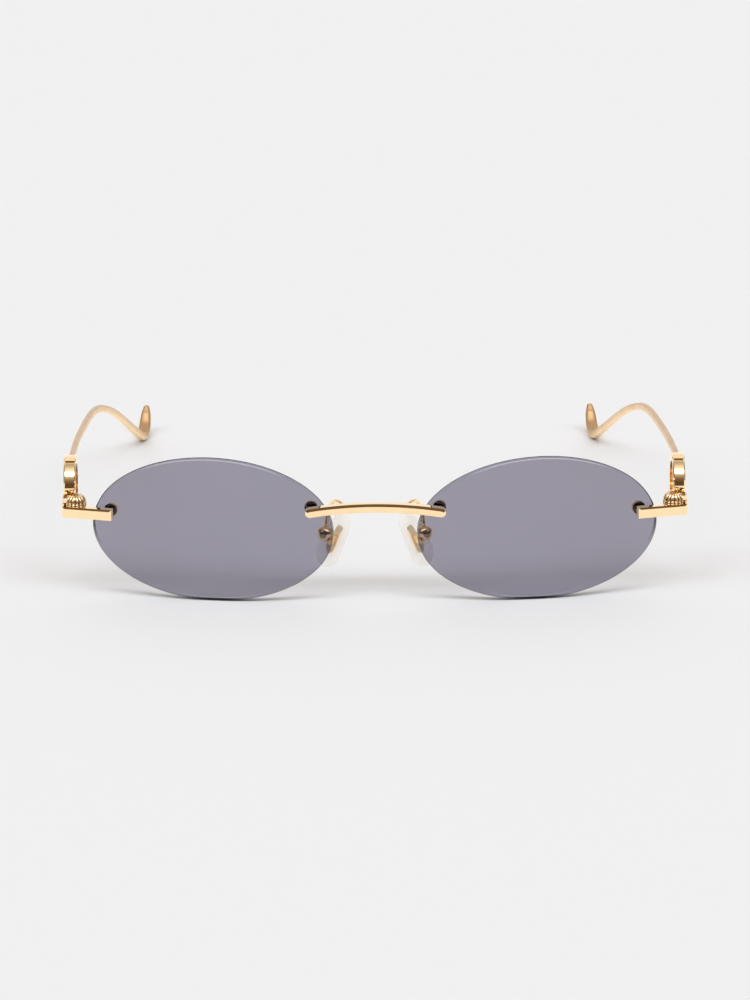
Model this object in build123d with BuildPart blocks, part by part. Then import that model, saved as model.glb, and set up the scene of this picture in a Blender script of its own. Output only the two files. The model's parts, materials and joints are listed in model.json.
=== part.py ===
from build123d import *
import os
from math import asin, cos, radians, sin, sqrt

# Rimless oval eyeglasses. Millimetres, +Z up.
# X runs to the wearer's left, Y from the lenses back to the ears. The glasses stand open on
# their lens bottoms and temple tips at Z = 0, with the origin under the middle of the whole.
# Every paired piece is modelled on the wearer's left (+X) and mirrored for the right.

os.makedirs("parts", exist_ok=True)

# ---------------------------------------------------------------- driving dimensions
FRONT_Y = -63.15           # front of the lenses beside the nose
CLEARANCE = 0.02           # radial gap of a pin in a fixed hole
RUNNING = 0.03             # radial gap of a pin in a turning hole
SOFT_EDGE = 0.25

LENS_WIDTH = 53.9
LENS_HEIGHT = 33.0
LENS_THICKNESS = 1.9
LENS_CURVE_R = 200.0       # radius of the front surface
LENS_CENTRE_X = 36.4
LENS_SETBACK = 1.5         # lens centre behind its nasal edge
LENS_WRAP = 7.0            # turn of each lens about the vertical, in degrees
LENS_ROLL = 1.5            # nasal end lower, in degrees
LENS_BEVEL = 0.18
LENS_HOLE_R = 1.0
LENS_BLANK = 6.0           # blank each side of the lens plane, before it is ground to shape
LONG_EDGE = 2 * LENS_WIDTH     # only the rim's own edges are longer than this

NASAL_HOLE = (-22.0, 5.8)      # from the lens centre, along its width and height
TEMPORAL_HOLE = (23.55, 2.4)

BAR_GAP = 0.1              # between a metal bar and the lens front
STUD_R = 0.6
STUD_SOCKET = 0.8          # how far a stud is brazed into its bar
STUD_TAIL = 0.25           # stud showing past its nut
BUSHING_R = 0.97
WASHER_R = 1.45
WASHER_GAP = 0.06          # seat of the washer on the lens's hollow back
WASHER_THICKNESS = 0.4
NUT_R = 1.5
NUT_HEIGHT = 1.2
NUT_BEVEL = 0.3
NUT_SLOT_WIDTH = 0.45      # for a forked driver
NUT_SLOT_DEPTH = 0.4

BRIDGE_HALF_LENGTH = 14.57     # between the centres of the rounded ends, halved
BRIDGE_HEIGHT = 2.0
BRIDGE_DEPTH = 2.0
BRIDGE_RISE = 1.15
BRIDGE_BEVEL = (0.6, 0.21)     # down the front face, and back from it

ENDPIECE_HEIGHT = 2.5
ENDPIECE_DEPTH = 1.6
ENDPIECE_OVERHANG = 1.25   # past the stud, towards the nose
ENDPIECE_OUTER_X = 69.7
ENDPIECE_REAR_Y = FRONT_Y + 11.3
ENDPIECE_BEVEL = (0.45, 0.15)   # down the front face, and back from it
WALL_THICKNESS = 0.75
WALL_RISE = 1.5            # side wall above the top of the bar
WALL_CORNER_R = 0.7

HINGE_X = 66.8
HINGE_Y = FRONT_Y + 9.15
HINGE_RISE = 0.95          # middle of the barrel above the middle of the bar
KNUCKLE_R = 2.3
KNUCKLE_HEIGHT = 4.1       # the whole stack of three
KNUCKLE_SHOULDER_R = 1.45  # where the rounded sides reach the flat ends
LEAF_HEIGHT = 1.2          # the middle knuckle
KNUCKLE_GAP = 0.16
POCKET_GAP = 0.2           # round the middle knuckle
FLUTES = 24
FLUTE_R = 0.2
WEB_REACH = 0.3            # from a fixed knuckle into the side wall
WEB_WIDTH = 2.4
TANG_WIDTH = 2.0
TANG_OFFSET = 0.9          # tang centre outside the hinge axis
HINGE_SCREW_R = 0.6
HINGE_HEAD_R = 0.95
HINGE_HEAD_HEIGHT = 0.35
SLOT_WIDTH = 0.25
SLOT_DEPTH = 0.15
HINGE_WASHER_R = 1.3
HINGE_WASHER_THICKNESS = 0.1

RING_R = 6.0
RING_BORE_R = 4.6
RING_INNER_X = 66.9
RING_WIDTH = 2.7
RING_Y = FRONT_Y + 17.6
RING_Z = 22.6
RING_EDGE = 0.3

# Temple arm stations: (behind the lens front, height, half thickness) from the side, and
# (behind the lens front, sideways, half thickness) from above.
SIDE_STATIONS = [
    (17.4, 28.5, 0.5),
    (26.0, 27.5, 0.85),
    (42.0, 25.4, 0.88),
    (60.0, 23.4, 0.88),
    (74.0, 21.8, 0.85),
    (84.0, 19.5, 0.85),
    (92.0, 16.4, 0.85),
    (100.0, 12.2, 0.85),
    (108.0, 7.4, 0.9),
    (114.5, 3.6, 0.98),
    (119.5, 1.3, 1.15),
    (124.0, 2.15, 1.2),
    (126.4, 4.3, 1.05),
    (127.1, 6.3, 0.8),
]
TOP_STATIONS = [
    (17.4, 67.95, 0.62),
    (40.0, 67.85, 0.62),
    (58.0, 67.05, 0.62),
    (74.0, 65.7, 0.62),
    (86.0, 63.9, 0.62),
    (100.0, 60.5, 0.65),
    (108.0, 58.55, 0.7),
    (115.0, 56.95, 0.95),
    (122.5, 55.7, 1.4),
    (129.0, 55.25, 0.9),
]
HEAD_THICKNESS = 0.5       # arm's head, over the top of the ring
HEAD_FRONT = 1.3           # ahead of the ring's middle
HEAD_REAR = 3.6            # behind the ring's middle

PAD_LENGTH = 13.4
PAD_TOP_R = 2.9
PAD_BOTTOM_R = 3.9
PAD_THICKNESS = 2.2
PAD_EDGE = 0.95
PAD_LEAN = 25.0            # from the vertical, seen from the front
PAD_SPLAY = 34.0           # from straight back, seen from above
PAD_SCREW_POINT = Vector(10.9, FRONT_Y + 7.2, 13.1)
PAD_SCREW_TO_PAD = 2.4     # from the screw to the middle of the pad
CORE_TOP_R = 1.0
CORE_BOTTOM_R = 1.5
CORE_LENGTH = 7.0
CORE_THICKNESS = 0.4
LUG_R = 0.9
LUG_THICKNESS = 0.8
PAD_SCREW_R = 0.45
PAD_SCREW_HEAD_R = 0.7
PAD_SCREW_HEAD_HEIGHT = 0.36
PAD_BOX_R = 1.8
PAD_BOX_RISE = 0.9         # box centre above the screw
PAD_BOX_CENTRE = 0.8       # box centre from the screw, away from the pad
PAD_BOX_MOUTH = 0.8        # open side from the screw, towards the pad
PAD_ROCK_ROOM = 0.25       # round the lug, for the rocking
BOX_SIDE_GAP = 0.1         # each side of the lug

WIRE_R = 0.5
PAD_ARM_X = 6.2
PAD_ARM_RISE = 0.75        # wire foot above the bridge ends
WIRE_CREST = 0.45          # where the wire is highest, as a part of its run
WIRE_LIFT = 0.55
WIRE_SWEEP = (0.6, 1)      # pull of the wire's directions at its foot and at its end


# ---------------------------------------------------------------- helpers
def save(piece, label):
    """Label a finished piece and write it."""
    piece.part.label = label
    export_step(piece.part, f"parts/{label}.step")


def save_pair(piece, label):
    """Write a piece for the wearer's left, and its mirror image for the right."""
    with BuildPart() as twin:
        mirror(piece.part, about=Plane.YZ)
    save(piece, f"{label}_left")
    save(twin, f"{label}_right")


def ribbon(stations):
    """Draw the outline of a band: each station is (along, across, half width)."""
    left = []
    right = []
    for i, (x, y, half) in enumerate(stations):
        before = stations[max(i - 1, 0)]
        after = stations[min(i + 1, len(stations) - 1)]
        run = Vector(after[0] - before[0], after[1] - before[1]).normalized()
        left.append((x - run.Y * half, y + run.X * half))
        right.append((x + run.Y * half, y - run.X * half))
    with BuildSketch() as band:
        with BuildLine():
            Spline(*left)
            ThreePointArc(left[-1], (x + run.X * half, y + run.Y * half), right[-1])
            Spline(*reversed(right))
            Line(right[0], left[0])
        make_face()
    return band.sketch


def teardrop(top_r, bottom_r, length):
    """Draw two circles and the hull round them, the smaller one at the top."""
    with BuildSketch() as drop:
        with BuildLine():
            CenterArc((top_r - length / 2, 0), top_r, 0, 360)
            CenterArc((length / 2 - bottom_r, 0), bottom_r, 0, 360)
        make_hull()
    return drop.sketch


# ---------------------------------------------------------------- lenses
wrap = radians(LENS_WRAP)
roll = radians(LENS_ROLL)
lens_centre_z = sqrt((LENS_HEIGHT / 2 * cos(roll)) ** 2 + (LENS_WIDTH / 2 * sin(roll)) ** 2)
lens_plane = Plane(
    origin=(LENS_CENTRE_X, FRONT_Y + LENS_SETBACK, lens_centre_z),
    x_dir=(cos(wrap) * cos(roll), sin(wrap) * cos(roll), sin(roll)),
    z_dir=(sin(wrap), -cos(wrap), 0),
)


def on_lens(u, v):
    """The point of the lens's front surface at width u and height v from its centre."""
    sag = LENS_CURVE_R - sqrt(LENS_CURVE_R**2 - u**2 - v**2)
    return lens_plane.from_local_coords(Vector(u, v, -sag))


# A mount plane lies on the lens front at a stud, with its Z pointing forwards out of the lens.
nasal_mount = Plane(origin=on_lens(*NASAL_HOLE), x_dir=(1, 0, 0), z_dir=(0, -1, 0))
temple_turn = wrap + asin(TEMPORAL_HOLE[0] / LENS_CURVE_R)
temporal_mount = Plane(
    origin=on_lens(*TEMPORAL_HOLE),
    x_dir=(cos(temple_turn), sin(temple_turn), 0),
    z_dir=(sin(temple_turn), -cos(temple_turn), 0),
)

with BuildPart() as lens:
    with BuildSketch(lens_plane):
        Ellipse(LENS_WIDTH / 2, LENS_HEIGHT / 2)
    extrude(amount=LENS_BLANK, both=True)
    with Locations(lens_plane.offset(-LENS_CURVE_R)):
        Sphere(LENS_CURVE_R, rotation=(90, 0, 0), mode=Mode.INTERSECT)
        Sphere(LENS_CURVE_R - LENS_THICKNESS, rotation=(90, 0, 0), mode=Mode.SUBTRACT)
    rim = lens.edges().filter_by(lambda edge: edge.length > LONG_EDGE)
    chamfer(rim, LENS_BEVEL)
    with BuildSketch(nasal_mount, temporal_mount):
        Circle(LENS_HOLE_R)
    extrude(amount=2 * LENS_THICKNESS, both=True, mode=Mode.SUBTRACT)
save_pair(lens, "lens")

# ---------------------------------------------------------------- bridge
# An arched bar in front of both lenses, with bevelled front edges and rounded ends.
nasal = nasal_mount.origin
bridge_rear_y = nasal.Y - BAR_GAP
arch = ThreePointArc(
    (-BRIDGE_HALF_LENGTH, nasal.Z),
    (0, nasal.Z + BRIDGE_RISE),
    (BRIDGE_HALF_LENGTH, nasal.Z),
)
right_nasal_mount = Plane(
    origin=(-nasal.X, nasal.Y, nasal.Z),
    x_dir=nasal_mount.x_dir,
    z_dir=nasal_mount.z_dir,
)
with BuildPart() as bridge:
    with BuildSketch(Plane.XZ.offset(-bridge_rear_y)):
        SlotArc(arch, BRIDGE_HEIGHT)
    extrude(amount=BRIDGE_DEPTH)
    bridge_front = bridge.faces().sort_by(Axis.Y)[0]
    chamfer(bridge_front.edges(), *BRIDGE_BEVEL, reference=bridge_front)
    fillet(bridge.faces().sort_by(Axis.Y)[-1].edges(), SOFT_EDGE)
    with BuildSketch(nasal_mount, right_nasal_mount):
        Circle(STUD_R + CLEARANCE)
    extrude(amount=BAR_GAP + STUD_SOCKET, mode=Mode.SUBTRACT)
save(bridge, "bridge")

# ---------------------------------------------------------------- endpieces
# A bar outside each lens that turns the corner into a thin side wall, with the top and bottom
# hinge knuckles brazed inside the corner.
temporal = temporal_mount.origin
bar_rear = temporal_mount.offset(BAR_GAP)
bar_front = bar_rear.offset(ENDPIECE_DEPTH)
bar_bottom = temporal.Z - ENDPIECE_HEIGHT / 2
bar_top = temporal.Z + ENDPIECE_HEIGHT / 2
wall_top = bar_top + WALL_RISE
knuckle_plane = Plane(origin=(HINGE_X, HINGE_Y, temporal.Z + HINGE_RISE))
leaf_plane = knuckle_plane.offset(-LEAF_HEIGHT / 2)
knuckle_top = knuckle_plane.offset(KNUCKLE_HEIGHT / 2)
fixed_offset = LEAF_HEIGHT / 2 + KNUCKLE_GAP


def along_bar(plane, world_x):
    """The point of a bar face's trace at the given X."""
    reach = (world_x - plane.origin.X) / plane.x_dir.X
    return plane.from_local_coords(Vector(reach, 0, 0))


# The hinge barrel, as if it were whole: rounded sides with fine upright flutes.
half_stack = KNUCKLE_HEIGHT / 2
with BuildPart() as barrel:
    with BuildSketch(Plane(knuckle_plane.origin, x_dir=(1, 0, 0), z_dir=(0, -1, 0))):
        with BuildLine():
            Polyline((0, half_stack), (0, -half_stack), (KNUCKLE_SHOULDER_R, -half_stack))
            ThreePointArc(
                (KNUCKLE_SHOULDER_R, -half_stack),
                (KNUCKLE_R, 0),
                (KNUCKLE_SHOULDER_R, half_stack),
            )
            Line((KNUCKLE_SHOULDER_R, half_stack), (0, half_stack))
        make_face()
    revolve(axis=Axis(knuckle_plane.origin, (0, 0, 1)))
    with BuildSketch(knuckle_plane):
        with PolarLocations(KNUCKLE_R, FLUTES):
            Circle(FLUTE_R)
    extrude(amount=KNUCKLE_HEIGHT, both=True, mode=Mode.SUBTRACT)

bar_start = bar_rear.from_local_coords(Vector(-ENDPIECE_OVERHANG, 0, 0))
bar_tip = bar_front.from_local_coords(Vector(-ENDPIECE_OVERHANG, 0, 0))
corner = along_bar(bar_front, ENDPIECE_OUTER_X)
inner_x = ENDPIECE_OUTER_X - WALL_THICKNESS
inner_corner = along_bar(bar_rear, inner_x)
with BuildPart() as endpiece:
    with BuildSketch(Plane.XY.offset(bar_bottom)):
        with BuildLine():
            Polyline(
                (bar_start.X, bar_start.Y),
                (bar_tip.X, bar_tip.Y),
                (corner.X, corner.Y),
                (ENDPIECE_OUTER_X, ENDPIECE_REAR_Y),
                (inner_x, ENDPIECE_REAR_Y),
                (inner_x, inner_corner.Y),
                close=True,
            )
        make_face()
    extrude(amount=ENDPIECE_HEIGHT)
    front_face = endpiece.faces().sort_by(Axis((0, 0, 0), bar_front.z_dir))[-1]
    chamfer(front_face.edges(), *ENDPIECE_BEVEL, reference=front_face)
    # The side wall sweeps up from the bar to carry the top knuckle.
    with BuildSketch(Plane.YZ.offset(inner_x)):
        with BuildLine():
            Polyline(
                (corner.Y + WALL_THICKNESS, bar_top),
                (corner.Y + WALL_THICKNESS, bar_bottom),
                (ENDPIECE_REAR_Y, bar_bottom),
                (ENDPIECE_REAR_Y, wall_top - WALL_CORNER_R),
            )
            RadiusArc(
                (ENDPIECE_REAR_Y, wall_top - WALL_CORNER_R),
                (ENDPIECE_REAR_Y - WALL_CORNER_R, wall_top),
                -WALL_CORNER_R,
            )
            Spline(
                (ENDPIECE_REAR_Y - WALL_CORNER_R, wall_top),
                (corner.Y + WALL_THICKNESS, bar_top),
                tangents=((-1, 0), (-1, 0)),
            )
        make_face()
    extrude(amount=WALL_THICKNESS)
    with BuildSketch(knuckle_plane):
        Circle(KNUCKLE_R + POCKET_GAP)
    extrude(amount=ENDPIECE_HEIGHT + WALL_RISE, both=True, mode=Mode.SUBTRACT)

# The fixed knuckles are the barrel without its middle slice, each with a web to the side wall.
with BuildPart() as knuckles:
    add(barrel.part)
    with BuildSketch(knuckle_plane.offset(-half_stack)):
        with Locations((KNUCKLE_R / 2 + WEB_REACH / 2, 0)):
            Rectangle(KNUCKLE_R + WEB_REACH, WEB_WIDTH)
    extrude(amount=KNUCKLE_HEIGHT - SOFT_EDGE)
    with BuildSketch(knuckle_plane.offset(-fixed_offset)):
        Circle(2 * KNUCKLE_R)
    extrude(amount=2 * fixed_offset, mode=Mode.SUBTRACT)
    with BuildSketch(knuckle_plane):
        Circle(HINGE_SCREW_R + CLEARANCE)
    extrude(amount=KNUCKLE_HEIGHT, both=True, mode=Mode.SUBTRACT)
    with BuildSketch(knuckle_top.offset(-HINGE_HEAD_HEIGHT)):
        Circle(HINGE_HEAD_R + CLEARANCE)
    extrude(amount=KNUCKLE_HEIGHT, mode=Mode.SUBTRACT)

with BuildPart() as endpiece_with_knuckles:
    add(endpiece.part)
    add(knuckles.part)
    with BuildSketch(temporal_mount):
        Circle(STUD_R + CLEARANCE)
    extrude(amount=BAR_GAP + STUD_SOCKET, mode=Mode.SUBTRACT)
save_pair(endpiece_with_knuckles, "endpiece")

# ---------------------------------------------------------------- temple rings
# A flat band on edge at the front of each temple, open through the middle.
ring_plane = Plane.YZ.offset(RING_INNER_X)
with BuildPart() as ring:
    with BuildSketch(ring_plane):
        with Locations((RING_Y, RING_Z)):
            Circle(RING_R)
            Circle(RING_BORE_R, mode=Mode.SUBTRACT)
    extrude(amount=RING_WIDTH)
    rims = ring.edges().filter_by(GeomType.CIRCLE).filter_by(lambda edge: edge.radius == RING_R)
    chamfer(rims, RING_EDGE)
save_pair(ring, "temple_ring")

with BuildPart() as ring_space:
    with BuildSketch(ring_plane.offset(-RING_WIDTH)):
        with Locations((RING_Y, RING_Z)):
            Circle(RING_R)
    extrude(amount=3 * RING_WIDTH)

# ---------------------------------------------------------------- temple hinge leaves
# The middle knuckle and its tang, brazed to the front of the ring.
with BuildPart() as hinge_leaf:
    add(barrel.part)
    with BuildSketch(leaf_plane):
        with Locations((TANG_OFFSET, RING_R / 2)):
            Rectangle(TANG_WIDTH, RING_R)
    extrude(amount=LEAF_HEIGHT)
    with BuildSketch(leaf_plane):
        Rectangle(4 * RING_R, 4 * RING_R)
    extrude(amount=LEAF_HEIGHT, mode=Mode.INTERSECT)
    add(ring_space.part, mode=Mode.SUBTRACT)
    with BuildSketch(knuckle_plane):
        Circle(HINGE_SCREW_R + RUNNING)
    extrude(amount=KNUCKLE_HEIGHT, both=True, mode=Mode.SUBTRACT)
save_pair(hinge_leaf, "temple_hinge_leaf")

# ---------------------------------------------------------------- hinge screws and washers
with BuildPart() as hinge_screw:
    with BuildSketch(knuckle_top):
        Circle(HINGE_SCREW_R)
    extrude(amount=-KNUCKLE_HEIGHT)
    with BuildSketch(knuckle_top.offset(-HINGE_HEAD_HEIGHT)):
        Circle(HINGE_HEAD_R)
    extrude(amount=HINGE_HEAD_HEIGHT)
    with BuildSketch(knuckle_top):
        Rectangle(2 * HINGE_HEAD_R, SLOT_WIDTH)
    extrude(amount=-SLOT_DEPTH, mode=Mode.SUBTRACT)
save_pair(hinge_screw, "hinge_screw")

washer_middle = LEAF_HEIGHT / 2 + KNUCKLE_GAP / 2 - HINGE_WASHER_THICKNESS / 2
with BuildPart() as hinge_washers:
    for level in (washer_middle, -washer_middle - HINGE_WASHER_THICKNESS):
        with BuildSketch(knuckle_plane.offset(level)):
            Circle(HINGE_WASHER_R)
            Circle(HINGE_SCREW_R + CLEARANCE, mode=Mode.SUBTRACT)
        extrude(amount=HINGE_WASHER_THICKNESS)
save_pair(hinge_washers, "hinge_washers")

# ---------------------------------------------------------------- temple arms
# A thin strip on edge that sits on the ring, runs back, turns in and down behind the ear and
# ends in a rounded, upturned paddle. It is the common part of its side view and its top view.
side_view = [(back + FRONT_Y, height, half) for back, height, half in SIDE_STATIONS]
top_view = [(back + FRONT_Y, across, half) for back, across, half in TOP_STATIONS]
with BuildPart() as temple_arm:
    with BuildSketch(Plane.YZ):
        add(ribbon(side_view))
    extrude(amount=ENDPIECE_OUTER_X + RING_WIDTH)
    # Along Y, then across towards the nose: this plane looks down, so its own Y is world X.
    with BuildSketch(Plane(origin=(0, 0, 0), x_dir=(0, 1, 0), z_dir=(0, 0, -1))):
        add(ribbon(top_view))
    extrude(amount=LENS_HEIGHT, both=True, mode=Mode.INTERSECT)
    # Its head is as wide as the ring and curves over the top.
    with BuildSketch(ring_plane):
        with Locations((RING_Y, RING_Z)):
            Circle(RING_R + HEAD_THICKNESS)
        with Locations((RING_Y + (HEAD_REAR - HEAD_FRONT) / 2, RING_Z + RING_R)):
            Rectangle(HEAD_FRONT + HEAD_REAR, RING_R, mode=Mode.INTERSECT)
    extrude(amount=RING_WIDTH)
    add(ring_space.part, mode=Mode.SUBTRACT)
save_pair(temple_arm, "temple_arm")

# ---------------------------------------------------------------- nose pads
# The pad plane lies in the pad: its X runs down the pad, its Y backwards, its Z away from the nose.
lean = radians(PAD_LEAN)
splay = radians(PAD_SPLAY)
pad_down = Vector(sin(lean), 0, -cos(lean))
pad_back = Vector(sin(splay), cos(splay), 0)
pad_out = pad_down.cross(pad_back).normalized()
screw_plane = Plane(origin=PAD_SCREW_POINT, x_dir=pad_down, z_dir=pad_out)
pad_plane = screw_plane.offset(-PAD_SCREW_TO_PAD)
pin_plane = Plane(origin=PAD_SCREW_POINT, x_dir=pad_down, z_dir=screw_plane.y_dir)

# The leaf-shaped metal core, with the lug that the pad screw goes through.
with BuildPart() as pad_core:
    with BuildSketch(pad_plane.offset(-CORE_THICKNESS / 2)):
        add(teardrop(CORE_TOP_R, CORE_BOTTOM_R, CORE_LENGTH))
    extrude(amount=CORE_THICKNESS)
    with BuildSketch(pin_plane):
        Circle(LUG_R)
        # The pin plane's own Y points towards the pad.
        with Locations((0, PAD_SCREW_TO_PAD / 2)):
            Rectangle(2 * LUG_R, PAD_SCREW_TO_PAD)
    extrude(amount=LUG_THICKNESS / 2, both=True)
    with BuildSketch(pin_plane):
        Circle(PAD_SCREW_R + RUNNING)
    extrude(amount=LUG_THICKNESS, both=True, mode=Mode.SUBTRACT)
save_pair(pad_core, "pad_core")

with BuildPart() as nose_pad:
    with BuildSketch(pad_plane.offset(-PAD_THICKNESS / 2)):
        add(teardrop(PAD_TOP_R, PAD_BOTTOM_R, PAD_LENGTH))
    extrude(amount=PAD_THICKNESS)
    flats = nose_pad.faces().filter_by(GeomType.PLANE).sort_by(Axis((0, 0, 0), pad_out))
    fillet(flats[0].edges() + flats[-1].edges(), PAD_EDGE)
    add(pad_core.part, mode=Mode.SUBTRACT)
save_pair(nose_pad, "nose_pad")

# The pad box: a ball cut flat and open towards the pad, whose two cheeks hold the pad screw.
box_centre = screw_plane.from_local_coords(Vector(-PAD_BOX_RISE, 0, PAD_BOX_CENTRE))
slot_length = 2 * (PAD_BOX_R + LUG_R + PAD_ROCK_ROOM)
with BuildPart() as box_ball:
    with Locations(box_centre):
        Sphere(PAD_BOX_R)
with BuildPart() as pad_box:
    add(box_ball.part)
    with BuildSketch(screw_plane.offset(-PAD_BOX_MOUTH)):
        Circle(2 * PAD_BOX_R)
    extrude(amount=-PAD_BOX_R, mode=Mode.SUBTRACT)
    with BuildSketch(pin_plane):
        with Locations((PAD_BOX_R, PAD_BOX_R)):
            Rectangle(slot_length, slot_length)
    extrude(amount=LUG_THICKNESS / 2 + BOX_SIDE_GAP, both=True, mode=Mode.SUBTRACT)
    with BuildSketch(pin_plane):
        Circle(PAD_SCREW_R + CLEARANCE)
    extrude(amount=2 * PAD_BOX_R, both=True, mode=Mode.SUBTRACT)
save_pair(pad_box, "pad_box")

with BuildPart() as pad_screw:
    with BuildSketch(pin_plane.offset(-PAD_BOX_R)):
        Circle(PAD_SCREW_R)
    extrude(amount=2 * PAD_BOX_R)
    with BuildSketch(pin_plane.offset(-PAD_BOX_R)):
        Circle(PAD_SCREW_HEAD_R)
    extrude(amount=-PAD_SCREW_HEAD_HEIGHT)
save_pair(pad_screw, "pad_screw")

# ---------------------------------------------------------------- pad arms
# A wire from the back of the bridge that rises a little, turns over and drops into the pad box.
wire_foot = Vector(PAD_ARM_X, bridge_rear_y, nasal.Z + PAD_ARM_RISE)
wire_run = Vector(box_centre.X - wire_foot.X, box_centre.Y - wire_foot.Y, 0)
wire_plane = Plane(
    origin=(wire_foot.X, wire_foot.Y, 0),
    x_dir=wire_run,
    z_dir=wire_run.cross(Vector(0, 0, 1)),
)
with BuildPart() as pad_arm:
    with BuildLine(wire_plane) as wire_path:
        Spline(
            (-SOFT_EDGE, wire_foot.Z),
            (wire_run.length * WIRE_CREST, wire_foot.Z + WIRE_LIFT),
            (wire_run.length, box_centre.Z),
            tangents=((1, WIRE_LIFT), (0, -1)),
            tangent_scalars=WIRE_SWEEP,
        )
    with BuildSketch(wire_path.line ^ 0):
        Circle(WIRE_R)
    sweep()
    add(bridge.part, mode=Mode.SUBTRACT)
    add(box_ball.part, mode=Mode.SUBTRACT)
save_pair(pad_arm, "pad_arm")


# ---------------------------------------------------------------- lens fastenings
def lens_fastening(mount, name):
    """Model the stud, bushing, washer and nut that clamp a lens to a bar."""
    lens_back = -LENS_THICKNESS - WASHER_GAP
    washer_back = lens_back - WASHER_THICKNESS
    nut_back = washer_back - NUT_HEIGHT
    with BuildPart() as stud:
        with BuildSketch(mount.offset(nut_back - STUD_TAIL)):
            Circle(STUD_R)
        extrude(amount=BAR_GAP + STUD_SOCKET - nut_back + STUD_TAIL)
    save_pair(stud, f"{name}_stud")
    with BuildPart() as bushing:
        with BuildSketch(mount.offset(lens_back)):
            Circle(BUSHING_R)
            Circle(STUD_R + CLEARANCE, mode=Mode.SUBTRACT)
        extrude(amount=BAR_GAP - lens_back)
    save_pair(bushing, f"{name}_bushing")
    with BuildPart() as washer:
        with BuildSketch(mount.offset(washer_back)):
            Circle(WASHER_R)
            Circle(STUD_R + CLEARANCE, mode=Mode.SUBTRACT)
        extrude(amount=WASHER_THICKNESS)
    save_pair(washer, f"{name}_washer")
    with BuildPart() as nut:
        with BuildSketch(mount.offset(nut_back)):
            Circle(NUT_R)
            Circle(STUD_R + CLEARANCE, mode=Mode.SUBTRACT)
        extrude(amount=NUT_HEIGHT)
        rear = nut.faces().sort_by(Axis((0, 0, 0), mount.z_dir))[0]
        chamfer(rear.outer_wire().edges(), NUT_BEVEL)
        with BuildSketch(mount.offset(nut_back)):
            Rectangle(2 * NUT_R, NUT_SLOT_WIDTH)
        extrude(amount=NUT_SLOT_DEPTH, mode=Mode.SUBTRACT)
    save_pair(nut, f"{name}_nut")


lens_fastening(nasal_mount, "bridge")
lens_fastening(temporal_mount, "endpiece")
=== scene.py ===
# %% [markdown]
# # Rimless oval eyeglasses
# The bridge, lenses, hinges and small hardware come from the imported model, exact to a hundredth
# of a millimetre. This lesson gives each of them its finish, and builds in mesh code the pieces
# whose beauty is in their roundness: the temple arms, the fluted barrels and the clear nose pads.
# The light is a studio made of bands in the sky, because polished gold shows only what is
# around it.

# %% load the frame
import json
from math import cos, pi, radians, sin, sqrt

import bmesh
import bpy
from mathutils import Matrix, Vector


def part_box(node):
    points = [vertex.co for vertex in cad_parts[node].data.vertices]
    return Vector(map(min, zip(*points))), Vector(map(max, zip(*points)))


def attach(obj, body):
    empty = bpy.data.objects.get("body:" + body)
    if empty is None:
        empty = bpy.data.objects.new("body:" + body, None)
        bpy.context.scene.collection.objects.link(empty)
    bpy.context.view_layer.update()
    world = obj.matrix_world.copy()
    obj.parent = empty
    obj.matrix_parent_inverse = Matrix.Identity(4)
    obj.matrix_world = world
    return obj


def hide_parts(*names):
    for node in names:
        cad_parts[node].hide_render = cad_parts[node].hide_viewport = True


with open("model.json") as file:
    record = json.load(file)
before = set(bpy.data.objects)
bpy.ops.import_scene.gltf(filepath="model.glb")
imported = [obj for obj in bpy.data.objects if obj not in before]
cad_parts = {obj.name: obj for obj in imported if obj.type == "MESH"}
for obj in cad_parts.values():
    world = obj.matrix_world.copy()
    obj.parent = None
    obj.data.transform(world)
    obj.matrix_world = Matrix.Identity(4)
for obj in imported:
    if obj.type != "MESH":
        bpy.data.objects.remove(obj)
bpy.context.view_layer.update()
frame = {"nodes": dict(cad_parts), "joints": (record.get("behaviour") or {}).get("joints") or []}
nodes = frame["nodes"]
joints = {joint["name"]: joint for joint in frame["joints"]}
MM = 0.001

# %% [markdown]
# ## Writing shaders as sums
# A material is arithmetic on patterns. One small class wraps a socket, so that `1 - mask` or
# `noise * 0.2 + 0.1` adds the Math nodes by itself, and its `node` method adds any other node
# from its type, its settings and its inputs.

# %% the wire class


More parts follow.
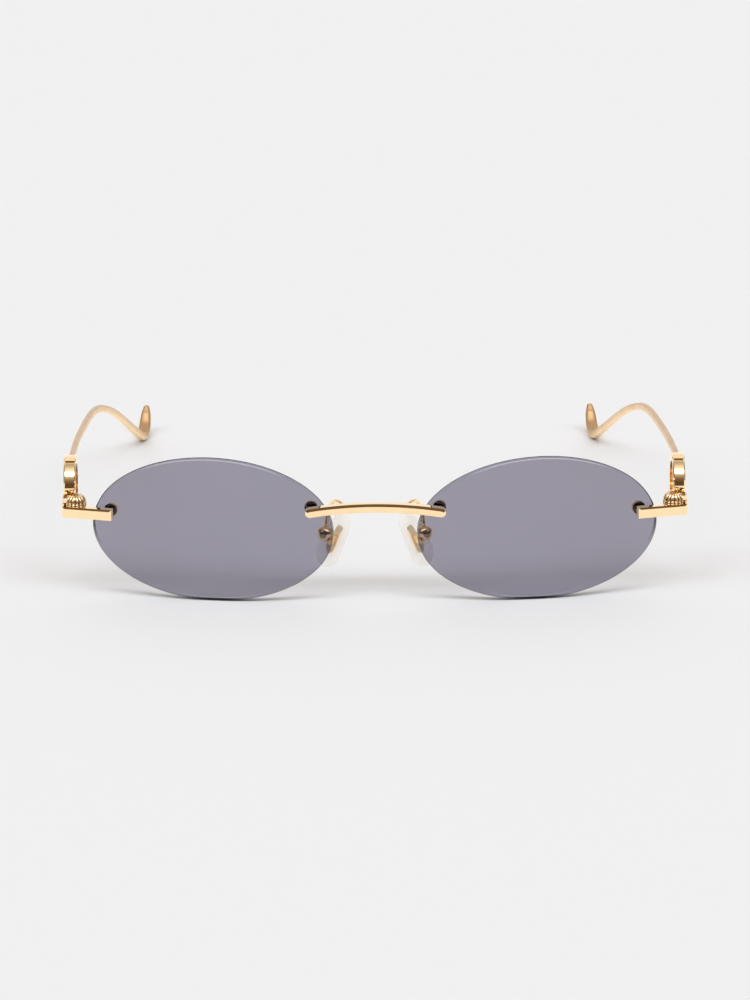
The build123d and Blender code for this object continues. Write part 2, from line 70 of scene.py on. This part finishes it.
class Wire:
    """A node socket that Python's operators can work on."""

    def __init__(self, tree, socket=None):
        self.tree = tree
        self.socket = socket

    def plug(self, target, value):
        """Set a socket, or link it when the value is a wire."""
        if isinstance(value, Wire):
            self.tree.links.new(value.socket, target)
        else:
            target.default_value = value

    def node(self, kind, settings=None, inputs=None, out=0):
        """Add a node: its settings come first, then its inputs by name or number."""
        made = self.tree.nodes.new(kind)
        for key, value in (settings or {}).items():
            if key == "stops":
                self.set_stops(made.color_ramp, value)
            else:
                setattr(made, key, value)
        for key, value in (inputs or {}).items():
            self.plug(made.inputs[key], value)
        return Wire(self.tree, made.outputs[out]) if made.outputs else made

    @staticmethod
    def set_stops(ramp, stops):
        """Place a colour ramp's stops, each (position, colour)."""
        while len(ramp.elements) < len(stops):
            ramp.elements.new(1.0)
        for element, (position, colour) in zip(ramp.elements, stops):
            element.position = position
            element.color = colour

    def blend(self, amount, first, second, blend_type="MIX"):
        """Mix two colours."""
        settings = {"data_type": "RGBA", "blend_type": blend_type}
        return self.node("ShaderNodeMix", settings, {0: amount, 6: first, 7: second}, out=2)

    def remap(self, value, low, high, to_low=0.0, to_high=1.0, curve="LINEAR"):
        """Stretch a value's range onto another, and hold it at both ends."""
        settings = {"interpolation_type": curve}
        inputs = {0: value, 1: low, 2: high, 3: to_low, 4: to_high}
        return self.node("ShaderNodeMapRange", settings, inputs)

    def noise(self, place, scale, detail=2.0):
        """Cloudy noise at a place."""
        inputs = {"Vector": place, "Scale": scale, "Detail": detail}
        return self.node("ShaderNodeTexNoise", inputs=inputs)

    def axes(self, vector):
        """The three parts of a vector."""
        made = self.tree.nodes.new("ShaderNodeSeparateXYZ")
        self.plug(made.inputs[0], vector)
        return [Wire(self.tree, part) for part in made.outputs]

    def math(self, operation, first, second):
        """Any Math node, for what Python has no operator for."""
        return self.node("ShaderNodeMath", {"operation": operation}, {0: first, 1: second})

    def __add__(self, other):
        return self.math("ADD", self, other)

    __radd__ = __add__

    def __sub__(self, other):
        return self.math("SUBTRACT", self, other)

    def __rsub__(self, other):
        return self.math("SUBTRACT", other, self)

    def __mul__(self, other):
        return self.math("MULTIPLY", self, other)

    __rmul__ = __mul__

    def __truediv__(self, other):
        return self.math("DIVIDE", self, other)


NORMAL_OUT, OBJECT_OUT = 1, 3      # outputs of the Texture Coordinate node
BACKFACING_OUT = 6                 # output of the Geometry node
SHADOW_RAY_OUT = 1                 # output of the Light Path node; camera rays are its output 0


def new_material(name):
    """Make an empty material, and the wire that its nodes start from."""
    material = bpy.data.materials.new(name)
    material.use_nodes = True
    material.node_tree.nodes.clear()
    return material, Wire(material.node_tree)


def grey(level):
    """An even grey as a colour."""
    return (level, level, level, 1.0)


# %% [markdown]
# ## The studio
# Product photographers light polished metal with bands: a dark flag low in front that draws the
# crisp dark lines along the bevels, a bright softbox above it, and a quieter ceiling behind.
# The sky shader is those bands, laid along the glasses' width, and the angle over the top is
# worked out from the sky direction alone.

# %% the banded sky
world = bpy.data.worlds.new("studio")
bpy.context.scene.world = world
world.use_nodes = True
world.node_tree.nodes.clear()
sky = Wire(world.node_tree)
direction = sky.node("ShaderNodeTexCoord")
sideways, back, up = sky.axes(direction)
over = sky.math("ARCTAN2", up, 0 - back) / pi
WHITE = (1.0, 1.0, 1.0)
SAND = (1.0, 0.86, 0.70)
UMBER = (1.0, 0.66, 0.36)


def band(degrees, level, tone):
    """A stop of the sky: an angle from the front horizon over the top, a level and a tone."""
    return (degrees / 180, (level * tone[0], level * tone[1], level * tone[2], 1.0))


SKY_BANDS = [
    band(0, 0.020, UMBER),
    band(14, 0.022, UMBER),
    band(27, 0.045, UMBER),
    band(40, 0.09, SAND),
    band(49, 0.19, SAND),
    band(53, 1.0, WHITE),
    band(68, 1.0, WHITE),
    band(72, 0.25, SAND),
    band(84, 0.21, SAND),
    band(94, 0.14, SAND),
    band(106, 0.10, SAND),
    band(118, 0.15, SAND),
    band(150, 0.20, WHITE),
    band(180, 0.205, WHITE),
]
SKY_STRENGTH = 4.97
SKY_SEEN = 0.88                    # grey level of the sky where the camera looks straight at it
sky_ramp = sky.node("ShaderNodeValToRGB", {"stops": SKY_BANDS}, {0: over})
off_centre = sky.math("ABSOLUTE", sideways, 0.0)
aside = sky.remap(off_centre, 0.5, 0.85, 1.0, 0.35, "SMOOTHSTEP")
dimmed = sky.blend(1.0, sky_ramp, aside, "MULTIPLY")
seen = sky.node("ShaderNodeLightPath")
sky_colour = sky.blend(seen, dimmed, grey(SKY_SEEN / SKY_STRENGTH))
background = sky.node(
    "ShaderNodeBackground", inputs={"Color": sky_colour, "Strength": SKY_STRENGTH}
)
sky.node("ShaderNodeOutputWorld", inputs={"Surface": background})
print("sky bands", len(SKY_BANDS))

# %% [markdown]
# ## Paper and camera
# The glasses stand on matt white paper. It ends a little way in front of them, where the dark
# flag begins, so the lower bevels find something dark to mirror. Metal sees the paper a little
# brighter than the camera does, as it would a lit sweep of paper.

# %% floor and camera
FLOOR_SIDE = 4.0
FLOOR_FRONT = -0.45
FLOOR_SEEN = (0.751, 0.787, 0.845, 1.0)    # cools the warm light, so the paper comes out neutral
FLOOR_IN_METAL = 0.90
floor_mesh = bpy.data.meshes.new("floor")
floor_mesh.from_pydata(
    [
        (-FLOOR_SIDE, FLOOR_FRONT, 0),
        (FLOOR_SIDE, FLOOR_FRONT, 0),
        (FLOOR_SIDE, FLOOR_SIDE, 0),
        (-FLOOR_SIDE, FLOOR_SIDE, 0),
    ],
    [],
    [(0, 1, 2, 3)],
)
floor = bpy.data.objects.new("floor", floor_mesh)
bpy.context.scene.collection.objects.link(floor)
paper, wire = new_material("matt paper")
seen = wire.node("ShaderNodeLightPath")
tone = wire.blend(seen, grey(FLOOR_IN_METAL), FLOOR_SEEN)
surface = wire.node(
    "ShaderNodeBsdfPrincipled",
    inputs={"Base Color": tone, "Roughness": 0.9, "Specular IOR Level": 0.0},
)
wire.node("ShaderNodeOutputMaterial", inputs={"Surface": surface})
floor_mesh.materials.append(paper)

CAMERA_ELEVATION = radians(18.5)
CAMERA_AZIMUTH = radians(-0.8)
CAMERA_DISTANCE = 1.0
CAMERA_LENS = 162.7
FILM_WIDTH = 36.0
FAR_CLIP = 20.0
LENS_FRONT_Y = -63.15 * MM
AIM_X, AIM_Z = -0.1 * MM, 24.25 * MM
aim = Vector((AIM_X, LENS_FRONT_Y, AIM_Z))
camera_back = Vector(
    (
        sin(CAMERA_AZIMUTH) * cos(CAMERA_ELEVATION),
        -cos(CAMERA_AZIMUTH) * cos(CAMERA_ELEVATION),
        sin(CAMERA_ELEVATION),
    )
)
camera_data = bpy.data.cameras.new("camera")
camera_data.lens = CAMERA_LENS
camera_data.sensor_width = FILM_WIDTH
camera_data.clip_end = FAR_CLIP
camera = bpy.data.objects.new("camera", camera_data)
bpy.context.scene.collection.objects.link(camera)
camera.location = aim + camera_back * CAMERA_DISTANCE
camera.rotation_mode = "QUATERNION"
camera.rotation_quaternion = (-camera_back).to_track_quat("-Z", "Y")
bpy.context.scene.camera = camera
bpy.context.scene.view_settings.view_transform = "Standard"
print("camera at", [round(value, 3) for value in camera.location])

# %% [markdown]
# ## Pale gold
# The plating is a soft, slightly rosy gold. Up close a polished part still has hairlines from
# the buffing wheel and faint cloudiness where fingers have been, so roughness wanders a little
# and a very fine scratch pattern leans on the normal.

# %% gold finishes
GOLD = (1.0, 0.80, 0.53, 1.0)
DEEP_GOLD = (0.93, 0.66, 0.36, 1.0)
DULL_GOLD = (0.58, 0.39, 0.22, 1.0)
OLD_GOLD = (0.55, 0.34, 0.16, 1.0)
FLUTE_SHADE_GOLD = (0.42, 0.25, 0.11, 1.0)
FLUTE_SHADE_DEEP = (0.2, 0.11, 0.05, 1.0)
REAR_DARKER_FROM = 49 * MM
REAR_DARKER_TO = 61 * MM
CLOUD_SCALE = 260.0
HAIRLINE_SCALE = 5200.0
HAIRLINE_DEPTH = 0.01 * MM


def gold_finish(name, colour, deep, roughness, hairline, stretch, darkening=0.0):
    """A gold plating: cloudy, with hairlines along one direction, painted shade on its upward
    faces, and darker towards the rear.
    """
    material, wire = new_material(name)
    place = wire.node("ShaderNodeTexCoord", out=OBJECT_OUT)
    facing = wire.node("ShaderNodeTexCoord", out=NORMAL_OUT)
    cloud = wire.noise(place, CLOUD_SCALE, 3.0)
    lines_at = wire.node("ShaderNodeMapping", inputs={"Vector": place, "Scale": stretch})
    lines = wire.noise(lines_at, HAIRLINE_SCALE, 4.0)
    # Darker and rougher towards the rear tips, by position; faces that look up or sideways are
    # painted darker, as painted shade, by their direction.
    rear = wire.remap(wire.axes(place)[1], REAR_DARKER_FROM, REAR_DARKER_TO, 0.0, 0.45)
    painted_top_shade = wire.remap(wire.axes(facing)[2], -0.35, 0.25, 0.0, 0.75)
    top_shade_and_rear_darkening = (rear + painted_top_shade) * darkening
    tint = wire.blend(cloud * 0.35 + top_shade_and_rear_darkening, colour, deep)
    bump = wire.node(
        "ShaderNodeBump",
        inputs={"Strength": hairline, "Distance": HAIRLINE_DEPTH, "Height": lines},
    )
    buffed = cloud * 0.06 + lines * 0.03 + (roughness - 0.045)
    surface = wire.node(
        "ShaderNodeBsdfPrincipled",
        inputs={
            "Base Color": tint,
            "Metallic": 1.0,
            "Roughness": buffed + top_shade_and_rear_darkening * 0.05 + rear * (darkening * 0.4),
            "Normal": bump,
        },
    )
    wire.node("ShaderNodeOutputMaterial", inputs={"Surface": surface})
    return material


ALONG_X, ALONG_Y, ROUND_Z = (0.05, 1.0, 1.0), (1.0, 0.03, 0.3), (1.0, 1.0, 0.1)
polished = gold_finish("polished pale gold", GOLD, DEEP_GOLD, 0.09, 0.10, ALONG_X)
# The arms' satin gold carries painted shade on its upward faces and is darker towards the rear
# tips.
satin = gold_finish("satin pale gold with painted top shade", GOLD, DULL_GOLD, 0.30, 0.18, ALONG_Y, 1.0)
# The flutes' gold is a darker, browner gold as painted shade for the grooves.
flute_painted_shade = gold_finish("gold with painted shade in the flutes", FLUTE_SHADE_GOLD, FLUTE_SHADE_DEEP, 0.3, 0.2, ROUND_Z)
turned = gold_finish("turned gold", DEEP_GOLD, OLD_GOLD, 0.22, 0.2, ROUND_Z)
print("gold finishes", polished.name, satin.name, flute_painted_shade.name, turned.name)

# %% [markdown]
# ## Tinted lenses and clear plastics
# The lenses are dyed right through, so their colour is one even tint, and a thin skin reflects
# more of the room towards the edges. The ground edge is clear where it looks up and painted dark,
# as painted shade, where it looks down, with a painted glint on the front bevel at the top.

# %% lens and clear plastics
LENS_TINT = (0.59, 0.58, 0.635, 1)
SILICONE_TINT = (1.0, 0.995, 0.985, 1)
NYLON_TINT = (0.9, 0.9, 0.88, 1)
RIM_PAINTED_SHADE = (0.055, 0.055, 0.065, 1)


def clear_finish(name, tint, shade, skin, gloss, roughness, ior=1.5, milk=0.0):
    """A see-through finish: tinted clear, under a reflecting skin that grows at the edges."""
    material, wire = new_material(name)
    place = wire.node("ShaderNodeTexCoord", out=OBJECT_OUT)
    haze = wire.noise(place, 90.0)
    shadow = wire.node("ShaderNodeLightPath", out=SHADOW_RAY_OUT)
    colour = wire.blend(shadow, tint, shade)
    through = wire.node("ShaderNodeBsdfTransparent", inputs={"Color": colour})
    fresnel = wire.node("ShaderNodeFresnel", inputs={"IOR": ior})
    coat = wire.node(
        "ShaderNodeBsdfPrincipled",
        inputs={
            "Base Color": skin,
            "Metallic": 0.0 if milk else 1.0,
            "Roughness": haze * 0.02 + roughness,
        },
    )
    outside = 1 - wire.node("ShaderNodeNewGeometry", out=BACKFACING_OUT)
    cover = (fresnel * gloss + haze * 0.01) * outside + milk
    mixed = wire.node("ShaderNodeMixShader", inputs={0: cover, 1: through, 2: coat})
    wire.node("ShaderNodeOutputMaterial", inputs={"Surface": mixed})
    return material


def rim_finish(name):
    """A lens's edge: clear where it looks up, painted shade where it looks down or sideways, and
    a painted glint on top.
    """
    material, wire = new_material(name)
    facing = wire.node("ShaderNodeTexCoord", out=NORMAL_OUT)
    _, rearward, upward = wire.axes(facing)
    clear = wire.remap(upward, 0.0, 0.4)
    top = wire.remap(upward, 0.655, 0.70)
    front = wire.remap(rearward, -0.4, -0.6)
    # Painted highlight: the top front bevel shows white instead of the tint.
    painted_glint = wire.blend(top * front, LENS_TINT, grey(1.0))
    fine = wire.noise(facing, 40.0)
    bright = wire.node("ShaderNodeBsdfTransparent", inputs={"Color": painted_glint})
    # Painted shade: faces that look down or sideways are a dark glossy edge.
    painted_dark_edge = wire.node(
        "ShaderNodeBsdfPrincipled",
        inputs={
            "Base Color": RIM_PAINTED_SHADE,
            "Roughness": fine * 0.1 + 0.18,
            "Coat Weight": 0.5,
        },
    )
    mixed = wire.node("ShaderNodeMixShader", inputs={0: clear, 1: painted_dark_edge, 2: bright})
    wire.node("ShaderNodeOutputMaterial", inputs={"Surface": mixed})
    return material


lens_tint = clear_finish("grey lens tint", LENS_TINT, grey(0.92), grey(0.9), 0.35, 0.02)
lens_rim = rim_finish("lens edge with painted shade and glint")
silicone = clear_finish(
    "clear silicone", SILICONE_TINT, grey(0.98), grey(1.0), 0.7, 0.10, 1.35, 0.2
)
nylon = clear_finish("clear nylon", NYLON_TINT, grey(0.9), grey(0.9), 0.8, 0.3)
print("clear finishes", lens_tint.name, silicone.name, nylon.name)

# %% [markdown]
# ## Which piece is made of what
# The frame is cut from one gold-plated stock. Turned parts, such as screws and nuts, come off a
# lathe a little darker, and the washers and bushings that keep metal off the lenses are nylon.

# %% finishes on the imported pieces


def finish_node(name, material):
    """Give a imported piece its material."""
    mesh = nodes[name].data
    mesh.materials.clear()
    mesh.materials.append(material)


FINISHES = {
    "lens_": lens_tint,
    "nose_pad": silicone,
    "hinge_screw": turned,
    "pad_screw": turned,
    "bridge_nut": turned,
    "endpiece_nut": turned,
    "hinge_washers": nylon,
    "bridge_washer": nylon,
    "endpiece_washer": nylon,
    "bridge_bushing": nylon,
    "endpiece_bushing": nylon,
}
for name in nodes:
    chosen = [material for start, material in FINISHES.items() if name.startswith(start)]
    finish_node(name, chosen[0] if chosen else polished)
print("finished", len(nodes), "packed pieces")

# The edge of each lens, and the walls of its holes, are the faces turned away from its axis; they
# take the edge finish with its painted shade and glint.
LENS_WRAP = radians(7)
SAME_WAY = 0.9                     # cosine between a face's normal and the lens axis
SIDES = ((1, "left"), (-1, "right"))
for side, name in SIDES:
    axis = Vector((side * sin(LENS_WRAP), -cos(LENS_WRAP), 0))
    mesh = nodes[f"lens_{name}"].data
    mesh.materials.append(lens_rim)
    for face in mesh.polygons:
        if abs(face.normal.dot(axis)) < SAME_WAY:
            face.material_index = 1

# %% [markdown]
# ## Lofted pieces
# A temple is rolled from wire, flattened, polished all round and bent by hand over a mandrel, so
# it has no hard edge anywhere. A loft through rounded sections gives exactly that surface: each
# ring of points is a squared oval, stood across the path.

# %% loft tools
AROUND = 28


def skin(rings):
    """The points of a list of rings, and the four-sided faces between neighbouring rings."""
    count = len(rings[0])
    faces = []
    for row in range(len(rings) - 1):
        for k in range(count):
            after = (k + 1) % count
            low, high = row * count, (row + 1) * count
            faces.append((low + k, low + after, high + after, high + k))
    return [point for ring in rings for point in ring], faces


def add_piece(name, mesh, body):
    """Link a mesh into the scene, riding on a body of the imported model."""
    piece = bpy.data.objects.new(name, mesh)
    bpy.context.scene.collection.objects.link(piece)
    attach(piece, body)
    return piece


def loft(name, rings, material, node_name, body, slot):
    """Skin a list of rings, close both ends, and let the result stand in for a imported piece."""
    mesh = bpy.data.meshes.new(name)
    verts, faces = skin(rings)
    count = len(rings[0])
    faces.append(tuple(range(count))[::-1])
    faces.append(tuple(range(len(verts) - count, len(verts))))
    mesh.from_pydata(verts, [], faces)
    mesh.update()
    work = bmesh.new()
    work.from_mesh(mesh)
    bmesh.ops.recalc_face_normals(work, faces=work.faces)
    work.to_mesh(mesh)
    work.free()
    mesh.shade_smooth()
    mesh.materials.append(material)
    piece = add_piece(name, mesh, body)
    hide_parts(node_name)
    return piece


def oval(centre, across, along, half_wide, half_tall, squareness):
    """A ring of points on a squared oval."""
    ring = []
    for k in range(AROUND):
        turn = 2 * pi * k / AROUND
        c, s = cos(turn), sin(turn)
        wide = abs(c) ** (2 / squareness) * (1 if c >= 0 else -1)
        tall = abs(s) ** (2 / squareness) * (1 if s >= 0 else -1)
        ring.append(centre + across * (wide * half_wide) + along * (tall * half_tall))
    return ring


def smooth(stations, steps):
    """A curve through every station, with rounded tangents (Catmull and Rom's rule)."""
    last = len(stations) - 1
    out = []
    for i in range(last):
        before, start = Vector(stations[max(i - 1, 0)]), Vector(stations[i])
        end, after = Vector(stations[i + 1]), Vector(stations[min(i + 2, last)])
        for step in range(steps):
            t = step / steps
            out.append(
                0.5
                * (
                    2 * start
                    + (end - before) * t
                    + (2 * before - 5 * start + 4 * end - after) * t**2
                    + (3 * start - before - 3 * end + after) * t**3
                )
            )
    out.append(Vector(stations[last]))
    return out


print("points around an arm", AROUND)

# %% [markdown]
# ## Temple arms
# One strip on edge: it leaves a raised head on the ring, runs back straight, drops inwards behind
# the ear and turns up into a small flat paddle. It could be swept along one curve, but the strip
# changes width all the way, so it is stated as stations and lofted.

# %% temple arms
# Each station: behind the lens front, sideways, height, half thickness, half height, squareness.
ARM_STATIONS = [
    (18.2, 67.95, 28.4, 0.55, 0.45, 4.0),
    (22.0, 67.98, 28.0, 0.61, 0.78, 4.0),
    (30.0, 67.95, 26.95, 0.62, 0.86, 4.0),
    (42.0, 67.80, 25.4, 0.62, 0.88, 4.0),
    (58.0, 67.05, 23.6, 0.62, 0.88, 4.0),
    (70.0, 66.15, 22.35, 0.62, 0.86, 4.0),
    (78.0, 65.20, 21.1, 0.62, 0.85, 4.0),
    (84.0, 64.25, 19.5, 0.62, 0.85, 4.0),
    (92.0, 62.50, 16.4, 0.63, 0.85, 4.0),
    (100.0, 60.50, 12.2, 0.65, 0.85, 3.6),
    (108.0, 58.55, 7.4, 0.70, 0.90, 3.2),
    (114.5, 57.00, 3.6, 0.92, 0.98, 2.8),
    (119.5, 56.05, 1.35, 1.22, 1.12, 2.6),
    (123.8, 55.65, 2.1, 1.42, 1.12, 2.4),
    (126.1, 55.42, 4.1, 1.25, 1.00, 2.3),
    (126.9, 55.30, 5.6, 0.95, 0.88, 2.2),
    (127.1, 55.25, 6.2, 0.75, 0.75, 2.1),
]
STEPS_BETWEEN = 6
TIP_STEPS = 6
TIP_REACH = 0.9                    # how far the tip's round end stands out, in half thicknesses
STEEP = 0.3                        # below this the path is almost upright


def split_stations(start):
    """Three columns of the station table."""
    return [station[start : start + 3] for station in ARM_STATIONS]


def arm_rings(side):
    """The rings of one arm, stood across its path."""
    path = smooth(split_stations(0), STEPS_BETWEEN)
    sizes = smooth(split_stations(3), STEPS_BETWEEN)
    rings = []
    for i, point in enumerate(path):
        ahead = path[min(i + 1, len(path) - 1)] - path[max(i - 1, 0)]
        tangent = Vector((ahead.y * side, ahead.x, ahead.z)).normalized()
        centre = Vector((side * point.y * MM, LENS_FRONT_Y + point.x * MM, point.z * MM))
        across = tangent.cross(Vector((0, 0, 1)))
        if across.length < STEEP:
            across = Vector((1, 0, 0))
        across.normalize()
        along = across.cross(tangent).normalized()
        wide, tall, squareness = sizes[i]
        rings.append(oval(centre, across, along, wide * MM, tall * MM, squareness))
    # The tip is closed by rings that shrink along a quarter circle.
    last, size = rings[-1], sizes[-1].x * MM
    middle = sum(last, Vector()) / len(last)
    for step in range(1, TIP_STEPS):
        turn = step / TIP_STEPS * pi / 2
        centre = middle + tangent * (size * TIP_REACH * sin(turn))
        rings.append([centre + (point - middle) * cos(turn) for point in last])
    return rings


HEAD_STEPS = 12
HEAD_FROM = 126                    # degrees round the ring, from its front
HEAD_STEP = 4.5
HEAD_LIP = 0.5 * MM
HEAD_EDGE = 0.15 * MM
HEAD_GAP = 0.002 * MM
LAST_LIP = 0.55                    # the head thins down at its front


def head_rings(low, high):
    """Sections of the raised head, laid round the top of the ring with the given box."""
    middle_y, middle_z = (low.y + high.y) / 2, (low.z + high.z) / 2
    inner = (high.y - low.y) / 2 + HEAD_GAP
    rings = []
    for step in range(HEAD_STEPS + 1):
        turn = radians(HEAD_FROM - step * HEAD_STEP)
        outer = inner + HEAD_LIP * (1 if step < HEAD_STEPS else LAST_LIP)
        section = (
            (low.x, inner),
            (low.x, outer - HEAD_EDGE),
            (low.x + HEAD_EDGE, outer),
            (high.x - HEAD_EDGE, outer),
            (high.x, outer - HEAD_EDGE),
            (high.x, inner),
        )
        c, s = cos(turn), sin(turn)
        rings.append([Vector((x, middle_y - r * c, middle_z + r * s)) for x, r in section])
    return rings


for side, name in SIDES:
    stands_for = (f"temple_arm_{name}", f"temple_{name}", "polished_gold")
    loft(f"arm_{name}", arm_rings(side), satin, *stands_for)
    rings = head_rings(*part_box(f"temple_ring_{name}"))
    head = loft(f"arm_saddle_{name}", rings, polished, *stands_for)
    head.data.shade_flat()
print("temple arms", len(ARM_STATIONS), "stations each")

# %% [markdown]
# ## Fluted hinge barrels
# The barrel is turned as a small bead and milled with flutes that run right over its shoulder.
# Its outline is stated row by row, and each row is rippled by a sine, which is lighter than
# cutting sixteen grooves.
# The top and bottom slices are brazed to the endpiece, and the middle one turns with the temple.

# %% fluted barrels
FLUTES = 16
FLUTE_STEPS = 8
BARREL_R = 2.52 * MM
SHOULDER_R = 1.72 * MM
SCREW_HEAD_R = 0.99 * MM
FLUTE_DEPTH = 0.21 * MM
LEAF_HALF = 0.60 * MM
FIXED_START = 0.76 * MM
OVER_SCREW = 0.02 * MM             # the barrel's end above its screw's end
OVER_STACK = 0.03 * MM             # where the shoulders would meet the ends
RIDGE_POWER = 0.8                  # under 1 the ridges between the flutes are broad


def bead_radius(height, half_stack):
    """The barrel's radius at a height from its middle, on a circle through both shoulders."""
    drop = BARREL_R - SHOULDER_R
    curve = (half_stack**2 + drop**2) / (2 * drop)
    return BARREL_R - curve + sqrt(curve**2 - height**2)


def bead_slice(name, heart, levels, half_stack, body):
    """One slice of the fluted barrel, open through the middle for its screw."""
    rows = [(SCREW_HEAD_R, levels[0])]
    rows += [(bead_radius(level, half_stack), level) for level in levels]
    rows += [(SCREW_HEAD_R, levels[-1])]
    count = FLUTES * FLUTE_STEPS
    rings = []
    for row, (radius, level) in enumerate(rows):
        depth = FLUTE_DEPTH if 0 < row < len(rows) - 1 else 0.0
        ring = []
        for k in range(count):
            turn = 2 * pi * k / count
            cut = 1 - abs(sin(turn * FLUTES / 2)) ** RIDGE_POWER
            r = radius - depth * cut
            ring.append(heart + Vector((r * cos(turn), r * sin(turn), level)))
        rings.append(ring)
    verts, faces = skin(rings)
    mesh = bpy.data.meshes.new(name)
    mesh.from_pydata(verts, [], faces)
    mesh.shade_smooth()
    mesh.materials.append(polished)
    mesh.materials.append(flute_painted_shade)
    # The floors of the flutes get a browner gold: painted shade in the recesses.
    for face in mesh.polygons:
        if face.index % FLUTE_STEPS in (0, 1, FLUTE_STEPS - 1):
            face.material_index = 1
    return add_piece(name, mesh, body)


SLICE_STEPS = 8
for side, name in SIDES:
    heart = Vector(joints[f"temple_{name}_fold"]["pos_m"])
    screw_low, screw_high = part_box(f"hinge_screw_{name}")
    half_stack = (screw_high.z - screw_low.z) / 2
    heart.z = (screw_high.z + screw_low.z) / 2
    top = half_stack + OVER_SCREW
    climb = (top - FIXED_START) / SLICE_STEPS
    rise = [FIXED_START + climb * step for step in range(SLICE_STEPS + 1)]
    fall = [-level for level in reversed(rise)]
    middle = [LEAF_HALF * (2 * step / SLICE_STEPS - 1) for step in range(SLICE_STEPS + 1)]
    reach = half_stack + OVER_STACK
    bead_slice(f"bead_top_{name}", heart, rise, reach, "front")
    bead_slice(f"bead_bottom_{name}", heart, fall, reach, "front")
    bead_slice(f"bead_middle_{name}", heart, middle, reach, f"temple_{name}")
print("barrel flutes", FLUTES)

# %% [markdown]
# ## Nose pads
# Each is soft silicone moulded over a metal leaf, as round at its rim as a river pebble, which is
# why it shows as little more than a pale outline. It is built as layers of one teardrop outline,
# drawn in towards both faces.

# %% nose pads
PAD_TOP_R = 2.9 * MM
PAD_BOTTOM_R = 3.9 * MM
PAD_LENGTH = 13.4 * MM
PAD_HALF = 1.1 * MM
PAD_AROUND = 48
PAD_LAYERS = 14
PAD_DRAW_IN = 1.25                 # of the half thickness, from the middle layer to the faces
PAD_ROUNDING = 0.75                # under 1 the rim is fuller than a half circle
PAD_LEAN = radians(25)
PAD_SPLAY = radians(34)
SHOULDER_SPAN = 0.25               # how gently the two end circles run together


def teardrop(turn, shrink):
    """A point on the pad's outline in its own plane, drawn in by the given distance."""
    top = PAD_TOP_R - PAD_LENGTH / 2
    bottom = PAD_LENGTH / 2 - PAD_BOTTOM_R
    slope = (PAD_BOTTOM_R - PAD_TOP_R) / (bottom - top)
    blend = (cos(turn) + slope + SHOULDER_SPAN) / (2 * SHOULDER_SPAN)
    blend = min(max(blend, 0.0), 1.0)
    blend = blend * blend * (3 - 2 * blend)
    centre = top + (bottom - top) * blend
    radius = PAD_TOP_R + (PAD_BOTTOM_R - PAD_TOP_R) * blend - shrink
    return centre + radius * cos(turn), radius * sin(turn)


for side, name in SIDES:
    down = Vector((side * sin(PAD_LEAN), 0, -cos(PAD_LEAN)))
    rear = Vector((side * sin(PAD_SPLAY), cos(PAD_SPLAY), 0))
    out = down.cross(rear).normalized() * side
    rear = out.cross(down).normalized()
    pad_low, pad_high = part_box(f"nose_pad_{name}")
    heart = (pad_low + pad_high) / 2
    layers = []
    for step in range(PAD_LAYERS + 1):
        turn = pi * (step / PAD_LAYERS - 0.5)
        level = PAD_HALF * sin(turn)
        shrink = PAD_HALF * PAD_DRAW_IN * (1 - abs(cos(turn)) ** PAD_ROUNDING)
        ring = []
        for k in range(PAD_AROUND):
            u, v = teardrop(2 * pi * k / PAD_AROUND, shrink)
            ring.append(heart + down * u + rear * v + out * level)
        layers.append(ring)
    stands_for = (f"nose_pad_{name}", f"pad_{name}", "clear_silicone")
    loft(f"pad_{name}", layers, silicone, *stands_for)
print("nose pads", PAD_AROUND, "points around")
